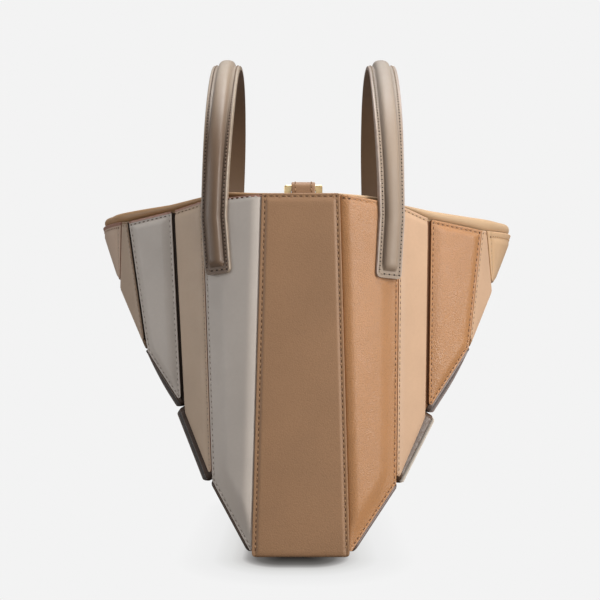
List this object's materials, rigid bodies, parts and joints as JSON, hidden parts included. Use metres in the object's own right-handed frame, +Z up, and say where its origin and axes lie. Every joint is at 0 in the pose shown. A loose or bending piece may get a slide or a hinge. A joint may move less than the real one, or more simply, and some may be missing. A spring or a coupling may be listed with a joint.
{
  "type": "tote bag",
  "caption": "Structured leather tote with bellows-folded sides in neutral tones, a narrow base, arched ribbed handles and strap rings at the gussets.",
  "frame": {"origin": "middle of the base, on the surface that the bag stands on", "axes": "+Z up, Y along the bag's length from the near gusset (-Y) to the far one, +X to the right seen at the near gusset"},
  "size_m": [0.3587, 0.35, 0.4162],
  "materials": {
    "tan": "fine grained tan leather",
    "grey": "smooth warm grey leather",
    "caramel": "fine grained caramel leather",
    "taupe": "smooth taupe leather",
    "cream": "smooth cream taupe leather",
    "light_tan": "smooth light tan leather",
    "brown": "smooth tan brown leather",
    "underside": "smooth dark taupe leather",
    "handle": "smooth taupe leather with painted edges",
    "gold": "polished gold plated metal"
  },
  "bodies": {
    "bag": {"gusset_near": "tan", "ring_loop_near": "tan", "gusset_far": "tan", "ring_loop_far": "tan", "base": "tan", "strip_left_b_near": "grey", "strip_left_b_bottom": "underside", "strip_left_b_far": "grey", "strip_left_c_near": "taupe", "strip_left_c_bottom": "underside", "strip_left_c_far": "taupe", "strip_left_d_near": "grey", "strip_left_d_bottom": "underside", "strip_left_d_far": "grey", "strip_left_e_near": "cream", "strip_left_e_bottom": "underside", "strip_left_e_far": "cream", "face_left": "taupe", "facing_left": "brown", "handle_left": "handle", "strip_right_b_near": "caramel", "strip_right_b_bottom": "underside", "strip_right_b_far": "caramel", "strip_right_c_near": "light_tan", "strip_right_c_bottom": "underside", "strip_right_c_far": "light_tan", "strip_right_d_near": "caramel", "strip_right_d_bottom": "underside", "strip_right_d_far": "caramel", "strip_right_e_near": "light_tan", "strip_right_e_bottom": "underside", "strip_right_e_far": "light_tan", "face_right": "tan", "facing_right": "light_tan", "handle_right": "handle"},
    "ring_near": {"strap_ring_near": "gold"},
    "ring_far": {"strap_ring_far": "gold"}
  },
  "joints": [
    {"name": "ring_near_swing", "type": "hinge", "parent": "bag", "child": "ring_near", "pos_m": [0.002, -0.16785, 0.2886], "axis": [1, 0, 0], "range_deg": [0, 288]},
    {"name": "ring_far_swing", "type": "hinge", "parent": "bag", "child": "ring_far", "pos_m": [0.002, 0.16785, 0.2886], "axis": [-1, 0, 0], "range_deg": [0, 288]}
  ]
}
